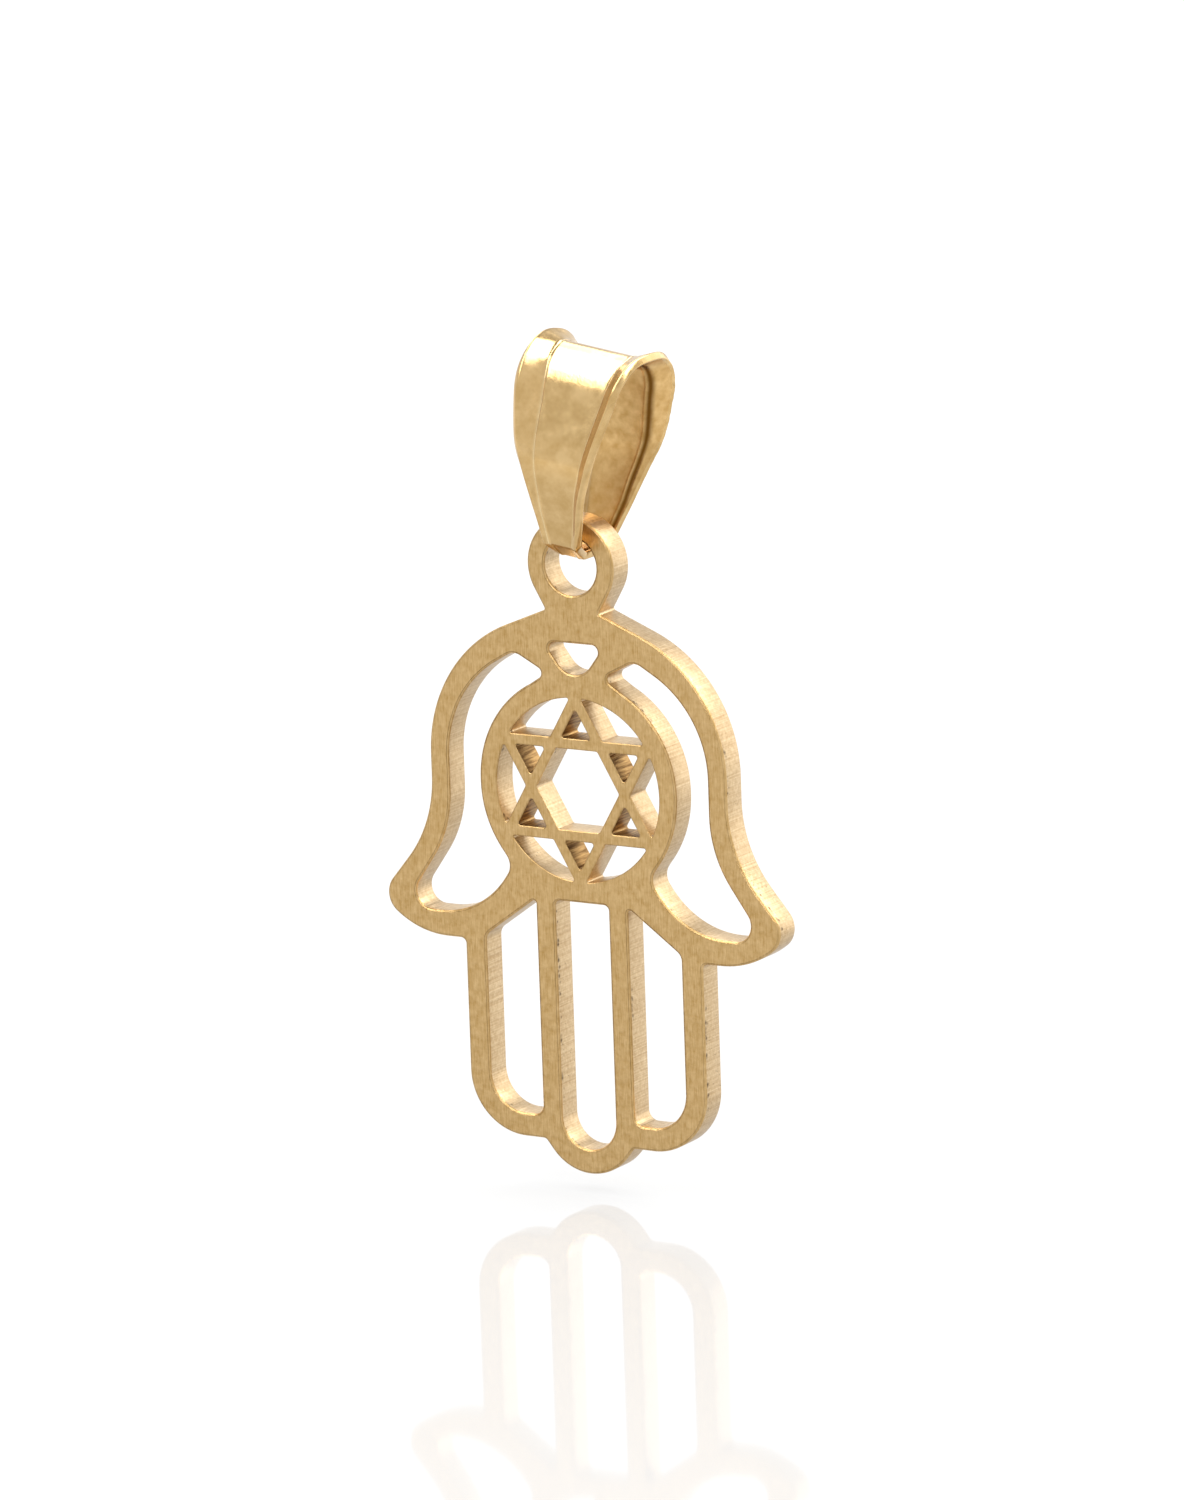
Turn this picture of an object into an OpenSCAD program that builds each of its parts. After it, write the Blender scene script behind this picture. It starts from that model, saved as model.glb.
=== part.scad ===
// Hamsa pendant: a hand cut from one flat sheet of gold, hanging from a tapered bail.
// Millimetres, +Z up. The pendant hangs from the origin, the top of the inside of the bail,
// where a chain lies along X. The front of the hand faces -Y.

/* [Sheet] */
// Thickness of the sheet that the hand is cut from
plate_t = 1.05; // [0.9:0.01:1.2]

/* [Ring and star] */
// Inner radius of the ring round the star
ring_r = 3.15; // [2.95:0.01:3.3]
// Width of the ring
ring_w = 0.66; // [0.55:0.01:0.75]
// How much taller than round the outside of the ring is at its top
ring_rise = 0.1; // [0:0.01:0.2]
// How far the star's points run into the ring
star_bite = 0.36; // [0.25:0.01:0.5]
// Width of the star's bars
star_bar = 0.365; // [0.3:0.005:0.42]

/* [Palm] */
// Width of the palm across its straight sides
palm_w = 11.49; // [11:0.01:12]
// Height of the neck's corners above the middle of the star
neck_h = 6.08; // [5.9:0.01:6.4]
// Width of the neck where it meets the palm
neck_w = 2.06; // [1.8:0.01:2.3]
// Fall of the shoulders, in degrees
shoulder_fall = 22.2; // [18:0.1:26]
// Radius of the shoulders
shoulder_r = 5; // [4.4:0.1:5.4]
// Width of the palm's band at the waist
band_w = 0.715; // [0.6:0.005:0.85]
// Height of the band above the side openings, at the corner of the shoulder
shoulder_band = 1.14; // [0.95:0.01:1.3]
// Width of the small pointed opening above the ring
peak_w = 2.37; // [2.1:0.01:2.5]
// Height of that opening above the ring
peak_h = 1.09; // [0.9:0.01:1.2]
// Radius of the small corners left by the cutter
cut_r = 0.2; // [0.15:0.01:0.22]

/* [Thumbs] */
// Width over the tips of both thumbs
thumb_span = 15.24; // [14.8:0.01:15.8]
// Depth of the thumbs' lower edge below the middle of the star
thumb_drop = 5.5; // [5.3:0.01:5.8]
// Width of the sheet under the side openings
thumb_band = 0.88; // [0.75:0.01:1]
// Radius of the thumbs' tips
thumb_r = 0.8; // [0.6:0.01:0.9]

/* [Fingers] */
// Width of the middle slot
mid_slot_w = 2.09; // [1.9:0.01:2.2]
// Length of the middle slot
mid_slot_l = 8.53; // [8.2:0.01:9]
// Sheet left between the ring's opening and the middle slot
mid_web = 0.7; // [0.6:0.01:0.9]
// Width of the bars between the slots
finger_bar = 0.74; // [0.6:0.01:0.9]
// Width of the side slots
side_slot_w = 2.02; // [1.9:0.01:2.2]
// Width of the bars outside the side slots
outer_bar = 0.81; // [0.7:0.01:1]
// How far the side slots end above the middle one
side_slot_up = 1.02; // [0.9:0.01:1.3]
// Radius at the lower outer corner of each side slot
side_slot_r = 1.3; // [1.1:0.01:1.5]
// Sheet left below the slots
end_wall = 0.8; // [0.7:0.01:1]

/* [Eyelet] */
// Diameter of the eyelet's hole
eye_d = 2; // [1.85:0.01:2.1]
// Width of the sheet round the hole
eye_w = 0.66; // [0.55:0.01:0.7]
// Height of the hole's middle above the neck's corners
eye_up = 1.54; // [1.45:0.01:1.7]

/* [Bail] */
// Thickness of the bail's sheet
bail_t = 0.28; // [0.22:0.01:0.32]
// Height from the middle of the eyelet's hole to the top of the bail's panel
bail_h = 7.38; // [7.1:0.02:7.7]
// Greatest depth of the bail's panel, front to back
bail_d = 4.04; // [3.8:0.02:4.3]
// Width of the bail over its rims at the top
bail_w = 4.22; // [4:0.02:4.5]
// Width of the panel between the rims at the top
panel_w = 2.66; // [2.4:0.02:2.8]
// Width of the bail at the bottom, where it passes through the eyelet
foot_w = 1.04; // [0.9:0.02:1.2]
// Most that the rims stand proud of the panel
flare = 0.92; // [0.7:0.02:1]
// Sideways lean of the bail on its eyelet, in degrees
bail_lean = 8.3; // [0:0.1:10]
// Clearance of the eyelet as it turns in the bend of the bail
swing_gap = 0.06; // [0.04:0.01:0.1]

/* [Hidden] */
gold = "#d9b675";
pale_gold = "#c9a769";
arc_step = 7;
$fn = 96;

ring_out = ring_r + ring_w;
// Distance from the middle of the star to the far and the near edge of each of its bars
star_far = (ring_r + star_bite) / 2;
star_near = star_far - star_bar;
waist = palm_w / 2;
thumb_x = thumb_span / 2;
shoulder_z = neck_h - (waist - neck_w / 2) * tan(shoulder_fall);
flare_z = -0.299 * thumb_drop;
mid_x = mid_slot_w / 2;
side_x0 = mid_x + finger_bar;
side_x1 = side_x0 + side_slot_w;
fingers_x = side_x1 + outer_bar;
mid_top = -(ring_r + mid_web);
mid_end = mid_top - mid_slot_l;
side_end = mid_end + side_slot_up;
eye_z = neck_h + eye_up;
eye_out = eye_d / 2 + eye_w;

// Rounded outlines. A row is [x, z, radius of the corner].
function unit(v) = v / norm(v);
function at(row) = [row[0], row[1]];
function turn(a, b, c) = acos(max(-1, min(1, unit(a - b) * unit(c - b)))) / 2;
function reach(rows, i) =
    let (n = len(rows), a = at(rows[(i + n - 1) % n]), b = at(rows[i]), c = at(rows[(i + 1) % n]))
    rows[i][2] <= 0 ? 0 : rows[i][2] / tan(turn(a, b, c));
// Share of its own reach that a corner can have on the edge it shares with another corner
function room(rows, i, j) =
    let (wanted = reach(rows, i) + reach(rows, j), edge = norm(at(rows[i]) - at(rows[j])))
    wanted <= edge ? 1 : edge / wanted;
function corner(rows, i) =
    let (n = len(rows), p = (i + n - 1) % n, q = (i + 1) % n,
         a = at(rows[p]), b = at(rows[i]), c = at(rows[q]),
         r = rows[i][2] * min(room(rows, i, p), room(rows, i, q)))
    r <= 0.001 ? [b] :
    let (half = turn(a, b, c), mid = b + unit(unit(a - b) + unit(c - b)) * r / sin(half),
         start = b + unit(a - b) * r / tan(half) - mid,
         side = cross(b - a, c - b) > 0 ? 1 : -1,
         sweep = side * (180 - 2 * half), steps = max(2, ceil(abs(sweep) / arc_step)))
    [for (k = [0 : steps]) let (s = sweep * k / steps)
        mid + [start[0] * cos(s) - start[1] * sin(s), start[0] * sin(s) + start[1] * cos(s)]];
function rounded(rows) = [for (i = [0 : len(rows) - 1]) each corner(rows, i)];
// Sharp rows along an arc of radius r about [x, z]
function arc(x, z, r, a0, a1) =
    let (steps = ceil(abs(a1 - a0) / arc_step))
    [for (k = [0 : steps]) let (s = a0 + (a1 - a0) * k / steps) [x + r * cos(s), z + r * sin(s), 0]];
function flipped(rows) = [for (i = [len(rows) - 1 : -1 : 0]) [-rows[i][0], rows[i][1], rows[i][2]]];

// Half of the hand's outside, from the foot of the middle finger up to the eyelet
end_r = mid_x + end_wall;
end_side = 52;
neck_touch = acos(eye_out / norm([neck_w / 2, eye_up])) - atan2(eye_up, neck_w / 2);
function hand_half() = concat(
    [[mid_x * 1.65, side_end - end_wall, cut_r],
     [fingers_x, side_end - end_wall, side_slot_r + outer_bar],
     [fingers_x, -thumb_drop, cut_r],
     [thumb_x * 0.846, -thumb_drop, thumb_x * 0.433],
     [thumb_x * 1.046, -thumb_drop * 0.784, thumb_r],
     [waist, flare_z, waist * 0.783],
     [waist, shoulder_z, shoulder_r],
     [neck_w / 2, neck_h, cut_r * 0.4]],
    arc(0, eye_z, eye_out, neck_touch, 84));
module hand_outline() {
    tip = [0, mid_end + mid_x - end_r / cos(end_side), end_r];
    polygon(rounded(concat([tip], hand_half(), flipped(hand_half()))));
}

// The opening between ring and thumb, from the top of the ring round to the shoulder
module side_opening() {
    inner = waist - band_w;
    low = thumb_band - thumb_drop;
    polygon(rounded(concat(
        [[peak_w * 0.46, ring_out + ring_rise, cut_r]],
        arc(0, ring_rise, ring_out, 63, 0),
        arc(0, 0, ring_out, 0, -39),
        [[ring_out * 0.7, -ring_out * 0.74, cut_r * 2.7],
         [ring_out * 1.03, low, ring_out * 0.84],
         [thumb_x * 0.9265, low, cut_r * 3],
         [inner, flare_z - 0.09, inner * 0.815],
         [inner, shoulder_z - shoulder_band, shoulder_r * 0.78],
         [inner * 0.465, shoulder_z + cut_r * 2, cut_r * 2.5]])));
}

// The pointed opening above the ring
module peak_opening() {
    top = ring_out + ring_rise + peak_h;
    polygon(rounded([[-peak_w / 2, top, cut_r * 1.2], [0, top - peak_w * 0.667, peak_w * 0.325],
                     [peak_w / 2, top, cut_r * 1.2]]));
}

// The slot of the middle finger, with a round end
module middle_slot() {
    polygon(rounded([[-mid_x, mid_top, cut_r], [-mid_x, mid_end, mid_x],
                     [mid_x, mid_end, mid_x], [mid_x, mid_top, cut_r]]));
}

// The slot of an outer finger, with a slanting top
module side_slot() {
    slant = side_slot_w * 0.716;
    polygon(rounded([[side_x0, mid_top, cut_r / 2], [side_x0, side_end, cut_r * 1.8],
                     [side_x1, side_end, side_slot_r], [side_x1, mid_top - slant, cut_r * 2]]));
}

// The star's openings: the hexagon, and one opening beside and one inside each of its points
module star_openings() {
    hexagon = star_near / cos(30);
    inside = (star_near * 2 - star_far) * tan(30);
    span = acos(star_far / ring_r) - 30;
    polygon(rounded([for (a = [0 : 60 : 300]) [hexagon * cos(a), hexagon * sin(a), cut_r * 0.6]]));
    for (a = [0 : 60 : 300]) {
        rotate(a) polygon(rounded(concat(
            [[star_far / cos(30), 0, cut_r / 2]], arc(0, 0, ring_r, -span, span))));
        rotate(a + 30) polygon(rounded(
            [[star_far, -inside, cut_r * 0.4], [star_near * 2, 0, cut_r * 0.4],
             [star_far, inside, cut_r * 0.4]]));
    }
}

// The hand as drawn on the sheet, the middle of the star at the origin
module hand_drawing() {
    difference() {
        hand_outline();
        translate([0, eye_z]) circle(d = eye_d);
        for (m = [0, 1]) mirror([m, 0]) {
            side_opening();
            side_slot();
        }
        peak_opening();
        middle_slot();
        star_openings();
    }
}

// The bail's loop in its own frame: the middle of the eyelet's hole at the origin, z up
// the loop. The eyelet turns about an axis at the middle of the sheet over its hole.
axis_up = eye_d / 2 + eye_w / 2;
foot_x = foot_w / 2;
foot_reach = norm([plate_t / 2, axis_up - sqrt(eye_d * eye_d / 4 - foot_x * foot_x)]);
foot_z = axis_up - foot_reach - swing_gap - bail_t;
tall = bail_h - foot_z;
deep = bail_d / 2;
UP = 0;
OUT = 1;
STANDS = 2;
PANEL = 3;
RIM = 4;
// Rows from the top down to the bend: height above the foot as a share of the loop's, depth
// as a share of half its depth, the rim's stand as a share of flare, and half widths of the
// panel and over the rims as shares of those at the top
loop = [
    [1.000, 0.000, 0.30, 1.00, 1.00],
    [0.956, 0.410, 0.55, 0.98, 0.96],
    [0.870, 0.610, 0.94, 0.93, 0.905],
    [0.756, 0.748, 1.00, 0.87, 0.84],
    [0.573, 0.966, 0.67, 0.75, 0.715],
    [0.450, 1.000, 0.32, 0.64, 0.615],
    [0.306, 0.895, 0.20, 0.52, 0.495],
    [0.079, 0.620, 0.02, 0.45, 0.355]
];
steps = 5;
last = len(loop) - 1;
function row(i) = i < 0 ? [loop[-i][UP], -loop[-i][OUT], loop[-i][STANDS], loop[-i][PANEL], loop[-i][RIM]]
    : i > last ? 2 * loop[last] - loop[last - 1] : loop[i];
// A smooth curve through the rows, at share s of the way from row i to the next
function between(i, s) = let (a = row(i - 1), b = row(i), c = row(i + 1), d = row(i + 2))
    (2 * b + (c - a) * s + (2 * a - 5 * b + 4 * c - d) * s * s + (3 * b - 3 * c + d - a) * s * s * s) / 2;
// One side of the loop as [y, z, stand, half panel, half width], from the top to the foot
half_loop = concat(
    [for (i = [0 : last - 1], k = [0 : steps - 1]) let (r = between(i, k / steps))
        [r[OUT] * deep, foot_z + r[UP] * tall, r[STANDS] * flare,
         r[PANEL] * panel_w / 2, r[RIM] * bail_w / 2]],
    [let (r = loop[last])
        [r[OUT] * deep, foot_z + r[UP] * tall, 0, r[PANEL] * panel_w / 2, r[RIM] * bail_w / 2],
     [0.24 * deep, foot_z + 0.03, 0, foot_x * 0.8, foot_x]]);
whole_loop = concat(
    [for (r = half_loop) r],
    [for (i = [len(half_loop) - 1 : -1 : 1]) let (r = half_loop[i]) [-r[0], r[1], r[2], r[3], r[4]]]);
// The strip's eight corners at station i: four outside, left to right, then four inside
function strip(i) =
    let (n = len(whole_loop), r = whole_loop[i], a = whole_loop[(i + n - 1) % n],
         b = whole_loop[(i + 1) % n], here = [r[0], r[1]],
         before = unit(here - [a[0], a[1]]), after = unit([b[0], b[1]] - here),
         mean = unit(before + after), out = [-mean[1], mean[0]],
         thick = bail_t / max(0.8, before * mean),
         bend = atan2(r[2], r[4] - r[3]), p = r[3], wi = r[4], w = wi - thick * sin(bend),
         rim = here + out * r[2], inside = here - out * thick,
         rim_in = rim - out * thick * cos(bend), pi = p + thick * tan(bend / 2))
    [[-w, rim[0], rim[1]], [-p, here[0], here[1]], [p, here[0], here[1]], [w, rim[0], rim[1]],
     [wi, rim_in[0], rim_in[1]], [pi, inside[0], inside[1]], [-pi, inside[0], inside[1]],
     [-wi, rim_in[0], rim_in[1]]];
function ring_faces(n, m) = [for (i = [0 : n - 1], j = [0 : m - 1])
    let (i2 = (i + 1) % n, j2 = (j + 1) % m) each
        [[i * m + j, i * m + j2, i2 * m + j2], [i * m + j, i2 * m + j2, i2 * m + j]]];

// The pendant hangs from the inside of the bail's top
hang = bail_h - bail_t;

module bail() {
    n = len(whole_loop);
    color(gold) rotate([0, bail_lean, 0]) translate([0, 0, -hang])
        polyhedron([for (i = [0 : n - 1]) each strip(i)], ring_faces(n, 8));
}

module hamsa_plate() {
    color(pale_gold)
        translate([-hang * sin(bail_lean), 0, -hang * cos(bail_lean) - eye_z])
        rotate([90, 0, 0]) linear_extrude(plate_t, center = true) hand_drawing();
}

bail();
hamsa_plate();
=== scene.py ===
import math
import bpy
import numpy as np
from mathutils import Matrix, Vector
from mathutils.geometry import tessellate_polygon


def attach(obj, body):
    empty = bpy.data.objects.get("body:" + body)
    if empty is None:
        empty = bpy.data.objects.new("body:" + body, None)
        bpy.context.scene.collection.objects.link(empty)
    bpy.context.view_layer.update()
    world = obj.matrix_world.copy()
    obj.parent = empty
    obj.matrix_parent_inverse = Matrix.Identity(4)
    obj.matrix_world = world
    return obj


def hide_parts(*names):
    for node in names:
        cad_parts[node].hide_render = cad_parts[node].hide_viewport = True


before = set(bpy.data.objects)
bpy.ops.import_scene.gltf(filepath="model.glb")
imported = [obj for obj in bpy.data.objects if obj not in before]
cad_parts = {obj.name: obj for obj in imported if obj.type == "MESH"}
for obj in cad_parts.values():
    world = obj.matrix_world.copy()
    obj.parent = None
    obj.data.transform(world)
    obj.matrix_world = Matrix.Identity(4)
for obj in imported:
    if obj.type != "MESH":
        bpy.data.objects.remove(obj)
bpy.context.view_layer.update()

# The photograph's view: the pendant hangs in front of a long lens, seen from its right and a
# little from above. The hand's plane and the middle of its star place the camera, and the
# picture's height shows 50 mm of that plane.
MM = 0.001
star = np.array([-1.025, 0, -14.646]) * MM
azimuth, elevation, roll = np.radians([31.39, 12.55, 1.94])
aim = np.array([0.219, 1.25]) * MM
distance = 306.4 * MM
shown = 50 * MM
sensor = 36

right = np.array([math.cos(azimuth), math.sin(azimuth), 0])
back = np.array([math.sin(azimuth) * math.cos(elevation),
                 -math.cos(azimuth) * math.cos(elevation), math.sin(elevation)])
up = np.cross(back, right)
tilted_right = math.cos(roll) * right - math.sin(roll) * up
tilted_up = math.sin(roll) * right + math.cos(roll) * up
spot = star + tilted_right * aim[0] + tilted_up * aim[1] + back * distance
view = bpy.data.cameras.new("view")
view.lens = sensor * distance / shown
view.sensor_width = sensor
view.clip_start = 0.01
viewer = bpy.data.objects.new("view", view)
bpy.context.collection.objects.link(viewer)
turned = Matrix([list(column) for column in (tilted_right, tilted_up, back)]).transposed()
viewer.matrix_world = Matrix.Translation(Vector(spot)) @ turned.to_4x4()
bpy.context.scene.camera = viewer
bpy.context.scene.view_settings.view_transform = "Standard"


# The hand: one sheet of gold, pierced by wire and trued with a file, so its cut walls are
# bright with fine lines across the sheet. Its faces are brushed from wrist to fingertips, and
# its edges are broken a little by polishing.
# Sizes are in millimetres, from the middle of the star with x to the right and z up.
sheet = 1.05
ring_in, ring_out, ring_rise = 3.15, 3.81, 0.1
star_r, star_far = 1.39, 1.755
waist, thumb_x, thumb_z = 5.745, 7.62, -5.5
shoulder_z, waist_z, inner = 4.157, -1.645, 5.03
slot_x = np.array([1.045, 1.785, 3.805, 4.615])
mid_top, mid_end, side_end, slant = -3.85, -12.38, -11.36, 1.446
finger_rim, thumb_rim, tip_r, tip_slope = 0.8, 0.88, 1.845, math.radians(52)
peak_half, peak_top, peak_foot = 1.185, 5.0, 3.42
eye_z, eye_r, eye_out = 7.62, 1.0, 1.66
neck_x, neck_z = 1.03, 6.08
edge_r, star_edge_r, edge_rings = 0.075, 0.035, 4
on_brushed, on_cut, on_raw_and_shaded = 0, 1, 2


def turning(row, before, after, step=3.0):
    """Points and outward normals of one corner: an arc of the row's radius, tangent to both
    of its edges, or the corner itself with the mean of its edges' normals."""
    point, a, b = row[:2], before[:2] - row[:2], after[:2] - row[:2]
    a, b = a / np.hypot(*a), b / np.hypot(*b)
    side = np.sign(a[1] * b[0] - a[0] * b[1]) or 1
    half = math.acos(np.clip(a @ b, -1, 1)) / 2
    if row[2] < 1e-3:
        normal = np.array([b[1] - a[1], a[0] - b[0]])
        return np.concatenate([point, normal / np.hypot(*normal)])[None]
    middle = point + (a + b) / np.hypot(*(a + b)) * row[2] / math.sin(half)
    start = point + a * row[2] / math.tan(half) - middle
    count = max(3, math.ceil(math.degrees(math.pi - 2 * half) / step)) + 1
    angle = side * np.linspace(0, math.pi - 2 * half, count)
    arm = np.stack([start[0] * np.cos(angle) - start[1] * np.sin(angle),
                    start[0] * np.sin(angle) + start[1] * np.cos(angle)], 1)
    return np.hstack([middle + arm, side * arm / row[2]])


def outline(rows):
    """A closed outline, anticlockwise, with each row's corner [x, z, radius] rounded. Two
    corners that would meet on their edge share it, each with its radius made less."""
    rows = np.array(rows, float)
    around = [(rows[k - 1], rows[k], rows[(k + 1) % len(rows)]) for k in range(len(rows))]
    reach, edge = [], []
    for a, p, b in around:
        to_a, to_b = a[:2] - p[:2], b[:2] - p[:2]
        cosine = to_a @ to_b / np.hypot(*to_a) / np.hypot(*to_b)
        reach.append(p[2] / max(1e-6, math.tan(math.acos(np.clip(cosine, -1, 1)) / 2)))
        edge.append(np.hypot(*to_b))
    reach, edge = np.array(reach), np.array(edge)
    room = np.minimum(1, edge / np.maximum(reach + np.roll(reach, -1), 1e-9))
    rows[:, 2] *= np.minimum(room, np.roll(room, 1))
    drawn = np.concatenate([turning(rows[k], rows[k - 1], rows[(k + 1) % len(rows)])
                            for k in range(len(rows))])
    gap = np.hypot(*(np.roll(drawn[:, :2], -1, 0) - drawn[:, :2]).T)
    return drawn[gap > 0.002]


def arc(x, z, r, start, end, step=3.0):
    """Sharp rows along a circle's arc, from start to end degrees."""
    angle = np.radians(np.linspace(start, end, math.ceil(abs(end - start) / step) + 1))
    return np.stack([x + r * np.cos(angle), z + r * np.sin(angle), 0 * angle], 1).tolist()


def mirrored(loop):
    """The same outline on the other side of the middle line, still anticlockwise."""
    return (loop * [-1, 1, -1, 1])[::-1]


def turned_by(loop, degrees):
    """The outline turned about the middle of the star."""
    c, s = math.cos(math.radians(degrees)), math.sin(math.radians(degrees))
    spin = np.array([[c, s], [-s, c]])
    return np.hstack([loop[:, :2] @ spin, loop[:, 2:] @ spin])


# Half of the outside as corners [x, z, radius], from the side finger's foot up over the thumb
# and shoulder to the neck, whose edge meets the eyelet's circle as a tangent
drop = eye_z - neck_z
touch = math.degrees(math.acos(eye_out / math.hypot(neck_x, drop)) - math.atan2(drop, neck_x))
half_hand = [[1.724, side_end - finger_rim, 0.2], [slot_x[3], side_end - finger_rim, 2.11],
             [slot_x[3], thumb_z, 0.2], [thumb_x * 0.846, thumb_z, 3.3],
             [thumb_x * 1.046, thumb_z * 0.784, 0.8], [waist, waist_z, 4.5],
             [waist, shoulder_z, 5.0], [neck_x, neck_z, 0.08]] + arc(0, eye_z, eye_out, touch, 87)
fingertip = [0, mid_end + slot_x[0] - tip_r / math.cos(tip_slope), tip_r]
hand = outline([fingertip] + half_hand + [[-x, z, r] for x, z, r in half_hand[::-1]])
thumb_gap = outline(
    [[1.09, ring_out + ring_rise, 0.2]]
    + arc(0, ring_rise, ring_out, 63, 0) + arc(0, 0, ring_out, 0, -39)
    + [[ring_out * 0.7, -ring_out * 0.74, 0.54], [ring_out * 1.03, thumb_z + thumb_rim, 3.2],
       [thumb_x * 0.9265, thumb_z + thumb_rim, 0.6], [inner, waist_z - 0.09, 4.1],
       [inner, shoulder_z - 1.14, 3.9], [inner * 0.465, shoulder_z + 0.4, 0.5]])
side_slot = outline([[slot_x[1], mid_top, 0.1], [slot_x[1], side_end, 0.36],
                     [slot_x[2], side_end, 1.3], [slot_x[2], mid_top - slant, 0.4]])
mid_slot = outline([[-slot_x[0], mid_top, 0.2], [-slot_x[0], mid_end, slot_x[0]],
                    [slot_x[0], mid_end, slot_x[0]], [slot_x[0], mid_top, 0.2]])
peak = outline([[-peak_half, peak_top, 0.24], [0, peak_foot, 0.77],
                [peak_half, peak_top, 0.24]])
eye = outline(arc(0, eye_z, eye_r, 0, 357))
hexagon = outline([[star_r / math.cos(math.pi / 6) * math.cos(a),
                    star_r / math.cos(math.pi / 6) * math.sin(a), 0.12]
                   for a in np.radians(range(0, 360, 60))])
reach = (2 * star_r - star_far) / math.sqrt(3)
inside_point = outline([[star_far, -reach, 0.08], [2 * star_r, 0, 0.08],
                        [star_far, reach, 0.08]])
beside_half = math.degrees(math.acos(star_far / ring_in)) - 30
rim = arc(0, 0, ring_in, -beside_half, beside_half)
rim[0][2] = rim[-1][2] = 0.06
beside_point = outline([[star_far / math.cos(math.pi / 6), 0, 0.1]] + rim)
# Each opening with the radius of its broken edges and the finish of its wall
openings = [(loop, edge_r, on_cut) for loop in (
    thumb_gap, mirrored(thumb_gap), side_slot, mirrored(side_slot), mid_slot, peak, eye)]
openings.append((hexagon, star_edge_r, on_cut))
for degrees in range(0, 360, 60):
    openings.append((turned_by(beside_point, degrees), star_edge_r, on_cut))
    # The star's inside points take the unfiled wall, whose dark brown is partly painted shade.
    openings.append((turned_by(inside_point, degrees + 30), star_edge_r, on_raw_and_shaded))


def area(loop):
    """Signed area of an outline, positive where it runs anticlockwise."""
    x, z = loop[:, 0], loop[:, 1]
    return 0.5 * np.sum(x * np.roll(z, -1) - z * np.roll(x, -1))


def into_metal(loop, is_hole):
    """The outline with its normals out of the metal, anticlockwise for the hand's outside
    and clockwise for an opening."""
    points, normals = loop[:, :2], loop[:, 2:]
    ahead, behind = np.roll(points, -1, 0) - points, points - np.roll(points, 1, 0)
    along = ahead / np.hypot(*ahead.T)[:, None] + behind / np.hypot(*behind.T)[:, None]
    outside = np.stack([along[:, 1], -along[:, 0]], 1) * (1 if area(loop) > 0 else -1)
    flip = np.sign(np.sum(outside * normals, 1))[:, None]
    normals = normals * flip
    turned_loop = np.hstack([points, -normals if is_hole else normals])
    return turned_loop[::-1] if (area(loop) > 0) == is_hole else turned_loop


def walls(loop, first, edge):
    """Vertices and quads of an outline's wall, from the front face to the back: the outline
    set into the metal by edge at both faces, in a quarter circle of that radius."""
    bend = np.linspace(0, math.pi / 2, edge_rings + 1)
    near = np.stack([edge * (1 - np.sin(bend)), -sheet / 2 + edge * (1 - np.cos(bend))], 1)
    profile = np.concatenate([near, near[::-1] * [1, -1]])
    rings, n = len(profile), len(loop)
    flat = loop[None, :, :2] - loop[None, :, 2:] * profile[:, 0, None, None]
    through = np.broadcast_to(profile[:, 1, None], (rings, n))
    points = np.stack([flat[..., 0], through, flat[..., 1]], 2).reshape(-1, 3)
    i, j = np.meshgrid(np.arange(rings - 1), np.arange(n), indexing="ij")
    j_next = (j + 1) % n
    quads = np.stack([i * n + j, i * n + j_next, (i + 1) * n + j_next, (i + 1) * n + j], 2)
    is_edge = np.broadcast_to(np.abs(i - (rings - 1) / 2 + 0.5) > 0.6, i.shape)
    return points, quads.reshape(-1, 4) + first, is_edge.ravel()


loops = [(into_metal(hand, False), edge_r, on_cut)]
loops += [(into_metal(loop, True), edge, wall) for loop, edge, wall in openings]
points, quads, finish, first = [], [], [], 0
front, front_ids, back_ids = [], [], []
for loop, edge, wall in loops:
    made, faces, is_edge = walls(loop, first, edge)
    points.append(made)
    quads.append(faces)
    finish.append(np.where(is_edge, on_brushed, wall))
    front.append(made[:len(loop), [0, 2, 1]].tolist())
    front_ids.append(np.arange(len(loop)) + first)
    back_ids.append(np.arange(len(loop)) + first + len(made) - len(loop))
    first += len(made)
points, quads = np.concatenate(points), np.concatenate(quads)
cap = np.array(tessellate_polygon(front))
front_ids, back_ids = np.concatenate(front_ids), np.concatenate(back_ids)
corner = points[front_ids[cap]]
faces_front = np.cross(corner[:, 1] - corner[:, 0], corner[:, 2] - corner[:, 0])[:, 1] < 0
front_cap = np.where(faces_front[:, None], cap, cap[:, ::-1])
hand_faces = (quads.tolist() + front_ids[front_cap].tolist()
              + back_ids[front_cap[:, ::-1]].tolist())
hand_mesh = bpy.data.meshes.new("hand")
hand_mesh.from_pydata((points * MM + star).tolist(), [], hand_faces)
flats = 2 * len(front_cap)
finish = np.append(np.concatenate(finish), np.full(flats, on_brushed))
hand_mesh.polygons.foreach_set("use_smooth", [True] * len(quads) + [False] * flats)
hand_mesh.polygons.foreach_set("material_index", finish)
hand_mesh.update()
hand_piece = bpy.data.objects.new("brushed_hand", hand_mesh)
bpy.context.collection.objects.link(hand_piece)


def linear(code):
    """The linear colour of an sRGB hex code: a power curve of 2.4, straight near black."""
    value = np.array([int(code[i:i + 2], 16) for i in (1, 3, 5)]) / 255
    value = np.where(value <= 0.04045, value / 12.92, ((value + 0.055) / 1.055) ** 2.4)
    return (*value.tolist(), 1)


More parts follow.
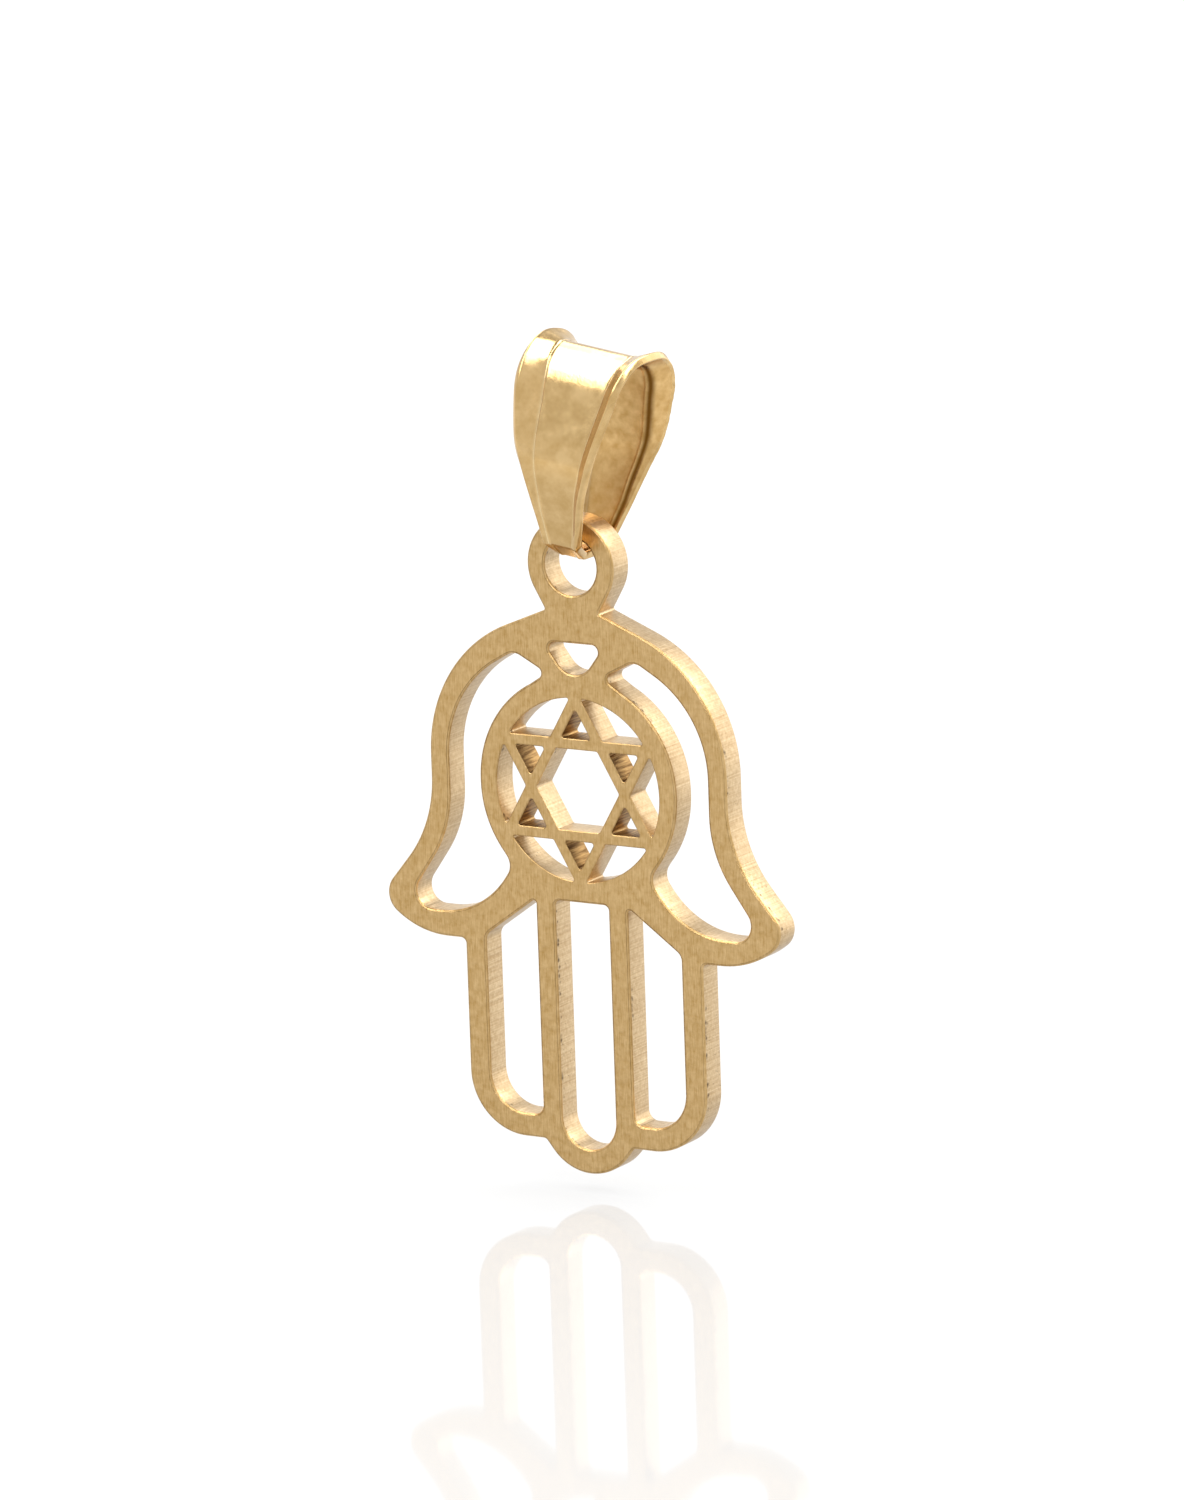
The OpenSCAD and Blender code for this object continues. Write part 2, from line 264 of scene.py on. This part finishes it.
def add(tree, kind, settings=None, **links):
    """Add a node. Settings are its properties. Links are its inputs by name, or by number
    after an underscore, each a value or the output that feeds it."""
    node = tree.nodes.new("ShaderNode" + kind)
    for name, value in (settings or {}).items():
        setattr(node, name, value)
    for name, value in links.items():
        socket = node.inputs[int(name[1:]) if name[0] == "_" else name.replace("_", " ")]
        if hasattr(value, "is_output"):
            tree.links.new(value, socket)
        else:
            socket.default_value = value
    return node


def metal(name):
    """A new metal, with its node tree and its surface node."""
    made = bpy.data.materials.new(name)
    made.use_nodes = True
    surface = made.node_tree.nodes["Principled BSDF"]
    surface.inputs["Metallic"].default_value = 1.0
    return made, made.node_tree, surface


# Brushed 18 carat gold: short emery strokes from wrist to fingertips over a slightly uneven
# sheet, so it has a soft, cloudy shine. The strokes are 0.04 mm wide and 0.5 mm long. Here and
# below, a pattern's scale is 1000 over its size in millimetres.
brushed, tree, gold = metal("brushed 18 carat gold")
place = add(tree, "TexCoord").outputs["Object"]
stroke = add(tree, "Mapping", Vector=place, Scale=(1000 / 0.04, 1000 / 4, 1000 / 0.5))
strokes = add(tree, "TexNoise", Vector=stroke.outputs["Vector"], Scale=1.0, Detail=2.0)
cloud = add(tree, "TexNoise", Vector=place, Scale=1000 / 0.22, Detail=3.0, Roughness=0.6)
tone = add(tree, "Mix", {"data_type": "FLOAT"}, Factor=0.5, _2=strokes.outputs["Fac"],
           _3=cloud.outputs["Fac"])
span = add(tree, "MapRange", Value=tone.outputs["Result"], From_Min=0.3, From_Max=0.7)
colour = add(tree, "Mix", {"data_type": "RGBA"}, _0=span.outputs["Result"],
             _6=linear("#ab8850"), _7=linear("#d4b583"))
tree.links.new(colour.outputs[2], gold.inputs["Base Color"])
shine = add(tree, "MapRange", Value=cloud.outputs["Fac"], From_Min=0.3, From_Max=0.7,
            To_Min=0.34, To_Max=0.46)
tree.links.new(shine.outputs["Result"], gold.inputs["Roughness"])
wave = add(tree, "Bump", Strength=0.7, Distance=0.02 * MM, Height=cloud.outputs["Fac"])
relief = add(tree, "Bump", Strength=0.3, Distance=0.01 * MM, Height=strokes.outputs["Fac"],
             Normal=wave.outputs["Normal"])
tree.links.new(relief.outputs["Normal"], gold.inputs["Normal"])
hand_mesh.materials.append(brushed)

# Wire-cut 18 carat gold: the wire's marks run straight through the sheet, 0.05 mm wide, and
# leave the walls paler than the faces, with fine dark pits where the file did not reach.
cut, tree, gold = metal("wire-cut 18 carat gold")
place = add(tree, "TexCoord").outputs["Object"]
mark = add(tree, "Mapping", Vector=place, Scale=(1000 / 0.05, 1000 / 4, 1000 / 0.05))
marks = add(tree, "TexNoise", Vector=mark.outputs["Vector"], Scale=1.0, Detail=1.0)
grit = add(tree, "TexNoise", Vector=place, Scale=1000 / 0.12, Detail=3.0)
tone = add(tree, "Mix", {"data_type": "FLOAT"}, Factor=0.5, _2=marks.outputs["Fac"],
           _3=grit.outputs["Fac"])
span = add(tree, "MapRange", Value=tone.outputs["Result"], From_Min=0.24, From_Max=0.76)
colour = add(tree, "Mix", {"data_type": "RGBA"}, _0=span.outputs["Result"],
             _6=linear("#a5865c"), _7=linear("#d9c29c"))
pit = add(tree, "TexVoronoi", {"feature": "F1"}, Vector=place, Scale=1000 / 0.2)
through = add(tree, "SeparateXYZ", Vector=place)
band = add(tree, "MapRange", {"interpolation_type": "SMOOTHSTEP"}, Value=through.outputs["Y"],
           From_Min=-0.42 * MM, From_Max=-0.2 * MM, To_Min=0.6, To_Max=0.15)
where = add(tree, "TexNoise", Vector=place, Scale=1000 / 2.5, Detail=1.0)
often = add(tree, "MapRange", Value=where.outputs["Fac"], From_Min=0.48, From_Max=0.62)
size = add(tree, "Math", {"operation": "MULTIPLY"}, _0=band.outputs["Result"],
           _1=often.outputs["Result"])
hole = add(tree, "MapRange", Value=pit.outputs["Distance"], From_Min=size.outputs["Value"],
           From_Max=0.0)
pitted = add(tree, "Mix", {"data_type": "RGBA"}, _0=hole.outputs["Result"],
             _6=colour.outputs[2], _7=linear("#38240c"))
tree.links.new(pitted.outputs[2], gold.inputs["Base Color"])
gold.inputs["Roughness"].default_value = 0.36
relief = add(tree, "Bump", Strength=0.5, Distance=0.02 * MM, Height=tone.outputs["Result"])
tree.links.new(relief.outputs["Normal"], gold.inputs["Normal"])
hand_mesh.materials.append(cut)

# Unfiled cut 18 carat gold with painted shade: the walls inside the star's points, which neither
# file nor mop could enter, stay rough from the wire, and their dark brown is partly painted shade
# for the depth of those narrow openings.
raw_and_shaded, tree, gold = metal("unfiled cut 18 carat gold with painted shade")
place = add(tree, "TexCoord").outputs["Object"]
mark = add(tree, "Mapping", Vector=place, Scale=(1000 / 0.08, 1000 / 1, 1000 / 0.08))
marks = add(tree, "TexNoise", Vector=mark.outputs["Vector"], Scale=1.0, Detail=3.0)
span = add(tree, "MapRange", Value=marks.outputs["Fac"], From_Min=0.35, From_Max=0.65)
# Painted shade: this brown range stands in partly for the shade inside the narrow points and
# partly for the unpolished wall.
colour = add(tree, "Mix", {"data_type": "RGBA"}, _0=span.outputs["Result"],
             _6=linear("#6b4b20"), _7=linear("#b8935c"))
tree.links.new(colour.outputs[2], gold.inputs["Base Color"])
gold.inputs["Roughness"].default_value = 0.45
relief = add(tree, "Bump", Strength=0.6, Distance=0.03 * MM, Height=marks.outputs["Fac"])
tree.links.new(relief.outputs["Normal"], gold.inputs["Normal"])
hand_mesh.materials.append(raw_and_shaded)

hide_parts("hamsa_plate")
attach(hand_piece, "hand")

# The bail: a strip of sheet, broad at the top and narrow at the foot, raised at both long
# edges, folded round the eyelet and soldered closed. It is polished outside and satin inside,
# and hangs leaning a little, with its top about on the chain's way at the frame's origin.
lean = math.radians(8.3)
bail_t, panel, rims, deep, flare = 0.28, 1.33, 2.11, 2.02, 0.92
hang, bail_h, foot_half = 7.10, 7.38, 0.52
axis_up, swing_gap = 1.33, 0.06
foot_reach = math.hypot(sheet / 2, axis_up - math.sqrt(eye_r ** 2 - foot_half ** 2))
foot_z = axis_up - foot_reach - swing_gap - bail_t
tall = bail_h - foot_z
stations_round, softened, across_steps, corner_steps = 420, 9, 26, 3
# From the top down: height and depth as shares of the loop's, the rims' stand as a share of
# flare, and half widths of the panel in front, of the panel behind and over the rims as shares
# of those on top
stations = np.array([
    [1.000, 0.000, 0.30, 1.00, 1.00, 1.00],
    [0.956, 0.410, 0.53, 0.97, 1.03, 0.97],
    [0.870, 0.610, 0.79, 0.90, 1.03, 0.94],
    [0.756, 0.748, 0.80, 0.82, 0.94, 0.89],
    [0.573, 0.966, 0.56, 0.72, 0.79, 0.75],
    [0.450, 1.000, 0.32, 0.64, 0.66, 0.625],
    [0.306, 0.895, 0.23, 0.52, 0.52, 0.495],
    [0.079, 0.620, 0.10, 0.45, 0.45, 0.355]])


def smooth_through(rows, each=24):
    """A Catmull-Rom curve through the rows, with a mirrored row before the first and a
    straight continuation after the last."""
    before = rows[1] * [1, -1, 1, 1, 1, 1]
    extended = np.vstack([before, rows, 2 * rows[-1] - rows[-2]])
    a, b, c, d = (extended[k:len(rows) - 1 + k, None] for k in range(4))
    s = (np.arange(each) / each)[None, :, None]
    curve = (2 * b + (c - a) * s + (2 * a - 5 * b + 4 * c - d) * s ** 2
             + (3 * b - 3 * c + d - a) * s ** 3) / 2
    return np.vstack([curve.reshape(-1, rows.shape[1]), rows[-1]])


# Half of the loop, from the top to the foot, and its foot's flat end under the eyelet
half = smooth_through(stations) * [tall, deep, flare, panel, panel, rims]
half[:, 0] += foot_z
foot_panel = 0.8 * foot_half
half = np.vstack([half, [foot_z + 0.03, 0.24 * deep, 0, foot_panel, foot_panel, foot_half]])
# Down behind and up in front, as [height, depth, stand, panel, rims], at even steps
path = np.vstack([half[:, [0, 1, 2, 4, 5]], half[:0:-1, [0, 1, 2, 3, 5]] * [1, -1, 1, 1, 1]])
path = np.vstack([path, path[:1]])
length = np.concatenate([[0], np.cumsum(np.hypot(*np.diff(path[:, :2], axis=0).T))])
even = np.arange(stations_round) / stations_round * length[-1]
path = np.stack([np.interp(even, length, column) for column in path.T], 1)
window = np.hanning(softened + 2)[1:-1]
window /= window.sum()
wide = np.vstack([path[-softened:], path, path[:softened]])
path = np.stack([np.convolve(column, window, "same")[softened:-softened]
                 for column in wide.T], 1)
# Behind, the rims waver by up to 0.02 mm, as edges left from the shears do
turns = 2 * math.pi * even / length[-1]
waver = sum(size * np.sin(waves * turns + start)
            for size, waves, start in ((0.01, 17, 0), (0.008, 41, 1), (0.006, 67, 2)))
path[:, 4] += waver * (path[:, 4] / rims) ** 2 * np.clip(path[:, 1] / deep, 0, 1)
along = np.roll(path[:, :2], -1, 0) - np.roll(path[:, :2], 1, 0)
along /= np.hypot(*along.T)[:, None]
outwards = np.stack([along[:, 1], -along[:, 0]], 1)


def strip(stand, half_panel, half_width, soft=0.035, edge=0.05, score=0.05, bead=0.025,
          mark=0.055, bunch=1.8, bead_highlight_share=0.7):
    """The strip's section, once round from its left rim, as [across, out] for each station,
    and how near each point is to a crease. With t the distance outwards from the crease, its
    middle line climbs as slope (t + sqrt(t^2 + soft^2)) / 2, flat in the panel and straight to
    the rim, its points bunched at the crease. There the inside is scored and the outside
    pressed up in a fine bead, both as exp(-(t / mark)^2). The edges are square with rounded
    corners."""
    r = bail_t / 2
    bend = np.arctan2(stand, half_width - half_panel)
    rim_x, rim_h = half_width - r * np.sin(bend), stand + r * (1 - np.cos(bend))
    crease = np.minimum(half_panel + r * np.tan(bend / 2), rim_x - r - edge)
    slope = rim_h / (rim_x - crease)
    reach = rim_x - crease - r / np.hypot(1, slope)
    u = np.linspace(-1, 1, across_steps + 1)
    t = np.sign(u) * np.abs(u) ** bunch * np.where(u < 0, crease[:, None], reach[:, None])
    x = crease[:, None] + t
    h = slope[:, None] * (t + np.sqrt(t ** 2 + soft ** 2)) / 2
    h -= h[:, :1]
    near = np.exp(-(t / mark) ** 2)
    x, h = np.hstack([-x[:, :0:-1], x]), np.hstack([h[:, :0:-1], h])
    near = np.hstack([near[:, :0:-1], near])
    dx, dh = np.gradient(x, axis=1), np.gradient(h, axis=1)
    size = np.hypot(dx, dh)
    tx, th = dx / size, dh / size
    outer, inner = r + bead * near, r - score * near
    top = np.stack([x - th * outer, h + tx * outer - r], 2)
    bottom = np.stack([x + th * inner, h - tx * inner - r], 2)[:, ::-1]
    a = np.linspace(0, math.pi / 2, corner_steps + 1)
    beyond = np.append(np.sin(a), np.sin(a)[::-1])[None] * edge + r - edge
    over = (np.append(np.cos(a), -np.cos(a)[::-1]) * edge
            + np.repeat([1, -1], corner_steps + 1) * (r - edge))
    end_x, end_h, end_tx, end_th = (side[:, -1:] for side in (x, h, tx, th))
    right_end = np.stack([end_x + beyond * end_tx - over * end_th,
                          end_h - r + beyond * end_th + over * end_tx], 2)
    left_end = right_end[:, ::-1] * [-1, 1]
    away = np.zeros(right_end.shape[:2])
    # The second part sets where light is painted: outside, scaled by bead_highlight_share, a
    # highlight on each bead; inside, shade in the creases.
    return (np.concatenate([top, right_end, bottom, left_end], 1),
            np.concatenate([near * bead_highlight_share, away, near[:, ::-1], away], 1))


# Where the bail's creases are painted: a highlight on the outside beads and shade inside.
section, crease_highlight_and_shade = strip(path[:, 2], path[:, 3], path[:, 4])
inside = 2 * across_steps + 1 + 2 * (corner_steps + 1)
# The light reaches the inside's left crease, so less shade is painted there.
crease_highlight_and_shade[:, inside + across_steps:] *= 0.25
m = section.shape[1]
level = path[:, None, :2] + outwards[:, None] * section[..., 1:]
x, y, z = section[..., 0], level[..., 1], level[..., 0] - hang
bail_points = np.stack([x * math.cos(lean) + z * math.sin(lean), y,
                        z * math.cos(lean) - x * math.sin(lean)], 2).reshape(-1, 3)
i, j = np.meshgrid(np.arange(stations_round), np.arange(m), indexing="ij")
i_next, j_next = (i + 1) % stations_round, (j + 1) % m
bail_quads = np.stack([i * m + j, i * m + j_next, i_next * m + j_next, i_next * m + j],
                      2).reshape(-1, 4)
on_satin = (j >= inside) & (j < inside + 2 * across_steps)
bail_mesh = bpy.data.meshes.new("bail")
bail_mesh.from_pydata((bail_points * MM).tolist(), [], bail_quads.tolist())
bail_mesh.polygons.foreach_set("use_smooth", [True] * len(bail_quads))
bail_mesh.polygons.foreach_set("material_index", on_satin.astype(int).ravel())
bail_mesh.update()
creased = bail_mesh.attributes.new("crease_highlight_and_shade", "FLOAT", "POINT")
creased.data.foreach_set("value", crease_highlight_and_shade.ravel())
bail_piece = bpy.data.objects.new("polished_bail", bail_mesh)
bpy.context.collection.objects.link(bail_piece)

# Polished 18 carat gold: a clear mirror over sheet that is never quite flat, a little hazy in
# patches from the polishing mop, with a painted highlight in pale gold on the fine bead beside
# each crease.
polished, tree, gold = metal("polished 18 carat gold")
place = add(tree, "TexCoord").outputs["Object"]
haze = add(tree, "TexNoise", Vector=place, Scale=1000 / 0.6, Detail=4.0, Roughness=0.6)
span = add(tree, "MapRange", Value=haze.outputs["Fac"], From_Min=0.35, From_Max=0.65)
colour = add(tree, "Mix", {"data_type": "RGBA"}, _0=span.outputs["Result"],
             _6=linear("#c6a46c"), _7=linear("#d8b883"))
# Painted highlight: pale gold on the bead beside each crease, where the light catches it.
crease = add(tree, "Attribute", {"attribute_name": "crease_highlight_and_shade"}).outputs["Fac"]
painted_bead_highlight = add(tree, "Mix", {"data_type": "RGBA"}, _0=crease, _6=colour.outputs[2],
             _7=linear("#f2dcb0"))
tree.links.new(painted_bead_highlight.outputs[2], gold.inputs["Base Color"])
shine = add(tree, "MapRange", Value=haze.outputs["Fac"], From_Min=0.35, From_Max=0.65,
            To_Min=0.12, To_Max=0.22)
tree.links.new(shine.outputs["Result"], gold.inputs["Roughness"])
relief = add(tree, "Bump", Strength=0.25, Distance=0.03 * MM, Height=haze.outputs["Fac"])
tree.links.new(relief.outputs["Normal"], gold.inputs["Normal"])

# Satin 18 carat gold: the inside of the bail, which the polishing mop does not reach. Its creases
# and its narrow foot are darkened with painted shade.
satin, tree, gold = metal("satin 18 carat gold")
place = add(tree, "TexCoord").outputs["Object"]
haze = add(tree, "TexNoise", Vector=place, Scale=1000 / 0.3, Detail=4.0)
span = add(tree, "MapRange", Value=haze.outputs["Fac"], From_Min=0.3, From_Max=0.7)
colour = add(tree, "Mix", {"data_type": "RGBA"}, _0=span.outputs["Result"],
             _6=linear("#c39c5f"), _7=linear("#deba80"))
crease = add(tree, "Attribute", {"attribute_name": "crease_highlight_and_shade"}).outputs["Fac"]
# Painted shade: darker towards the foot inside the loop and in the creases, up to dark brown.
deep_inside = add(tree, "MapRange", Value=add(tree, "SeparateXYZ", Vector=place).outputs["Z"],
                  From_Min=-3.2 * MM, From_Max=-5.2 * MM, To_Max=0.45)
dark = add(tree, "Math", {"operation": "MAXIMUM"}, _0=crease, _1=deep_inside.outputs["Result"])
satin_with_painted_shade = add(tree, "Mix", {"data_type": "RGBA"}, _0=dark.outputs["Value"],
             _6=colour.outputs[2], _7=linear("#6b4614"))
tree.links.new(satin_with_painted_shade.outputs[2], gold.inputs["Base Color"])
gold.inputs["Roughness"].default_value = 0.34
relief = add(tree, "Bump", Strength=0.4, Distance=0.02 * MM, Height=haze.outputs["Fac"])
tree.links.new(relief.outputs["Normal"], gold.inputs["Normal"])

bail_mesh.materials.append(polished)
bail_mesh.materials.append(satin)
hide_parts("bail")
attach(bail_piece, "bail")

# The light table: a pale acrylic sheet just under the fingertip, lit from below in a disc that
# fills the picture behind the hand. Its gloss shows a faint reflection of the hand.
floor_z = -28.52 * MM
floor_half = 2
lit_middle, lit_r, dark_r = (-100 * MM, 100 * MM, floor_z), 215 * MM, 400 * MM
beneath, in_front = -10 * MM, -90 * MM
floor_mesh = bpy.data.meshes.new("floor")
floor_mesh.from_pydata([(x * floor_half, y * floor_half, floor_z)
                        for x, y in ((-1, -1), (1, -1), (1, 1), (-1, 1))], [], [(0, 1, 2, 3)])
floor = bpy.data.objects.new("floor", floor_mesh)
bpy.context.collection.objects.link(floor)

# White acrylic sheet: glossy, so it mirrors the fingers. The reflection fades and the glow
# grows from beneath the hand to the table's front edge, and the glow dies away past the disc.
board = bpy.data.materials.new("white acrylic sheet")
board.use_nodes = True
tree = board.node_tree
acrylic = tree.nodes["Principled BSDF"]
acrylic.inputs["Base Color"].default_value = linear("#616161")
acrylic.inputs["Roughness"].default_value = 0.05
acrylic.inputs["IOR"].default_value = 1.45
acrylic.inputs["Emission Color"].default_value = (1, 1, 1, 1)
place = add(tree, "TexCoord").outputs["Object"]
towards = add(tree, "SeparateXYZ", Vector=place)
gloss = add(tree, "MapRange", Value=towards.outputs["Y"], From_Min=beneath, From_Max=in_front,
            To_Min=0.5, To_Max=0.2)
tree.links.new(gloss.outputs["Result"], acrylic.inputs["Specular IOR Level"])
glow = add(tree, "MapRange", Value=towards.outputs["Y"], From_Min=beneath, From_Max=in_front,
           To_Min=0.585, To_Max=0.74)
outward = add(tree, "VectorMath", {"operation": "DISTANCE"}, _0=place, _1=lit_middle)
fade = add(tree, "MapRange", Value=outward.outputs["Value"], From_Min=lit_r, From_Max=dark_r,
           To_Min=1.0, To_Max=0.35)
lit = add(tree, "Math", {"operation": "MULTIPLY"}, _0=glow.outputs["Result"],
          _1=fade.outputs["Result"])
tree.links.new(lit.outputs["Value"], acrylic.inputs["Emission Strength"])
floor_mesh.materials.append(board)


def softbox(name, place, aim_at, wide, long, brightness):
    """An area light at a place, facing a point, wide across and long towards the ground, all
    in millimetres. Brightness is its radiance, so its power is that times pi times its area."""
    data = bpy.data.lights.new(name, "AREA")
    data.shape = "RECTANGLE"
    data.size, data.size_y = wide * MM, long * MM
    data.energy = brightness * math.pi * data.size * data.size_y
    lamp = bpy.data.objects.new(name, data)
    bpy.context.collection.objects.link(lamp)
    lamp.location = Vector(place) * MM
    away = Vector(aim_at) - Vector(place)
    lamp.rotation_euler = away.to_track_quat("-Z", "Y").to_euler()
    lamp.visible_camera = False


# The two on the left light the top of the bail, high_right its left flange, front_top the
# broken edges, and back_right the walls that face right.
softbox("high_left", (-191, -170, 406), (29, -170, 16), 720, 174, 6.8)
softbox("back_left", (-220, 270, 360), (0, 0, 0), 280, 240, 3.4)
softbox("front_top", (125, -215, 290), (0, 0, -10), 160, 330, 3.6)
softbox("high_right", (275, 140, 330), (0, 0, -5), 430, 270, 6)
softbox("back_right", (190, 420, 150), (0, 0, -15), 460, 420, 1.0)

# The tent: white cloth all round, dimmer overhead than at the table
world = bpy.data.worlds.new("studio")
bpy.context.scene.world = world
world.use_nodes = True
tree = world.node_tree
height = add(tree, "SeparateXYZ", Vector=add(tree, "TexCoord").outputs["Generated"])
rise = add(tree, "MapRange", Value=height.outputs["Z"], From_Min=0.25, From_Max=0.8)
cloth = add(tree, "Mix", {"data_type": "RGBA"}, _0=rise.outputs["Result"],
            _6=(1.0, 1.0, 1.0, 1), _7=(0.6, 0.6, 0.6, 1))
tree.links.new(cloth.outputs[2], tree.nodes["Background"].inputs["Color"])

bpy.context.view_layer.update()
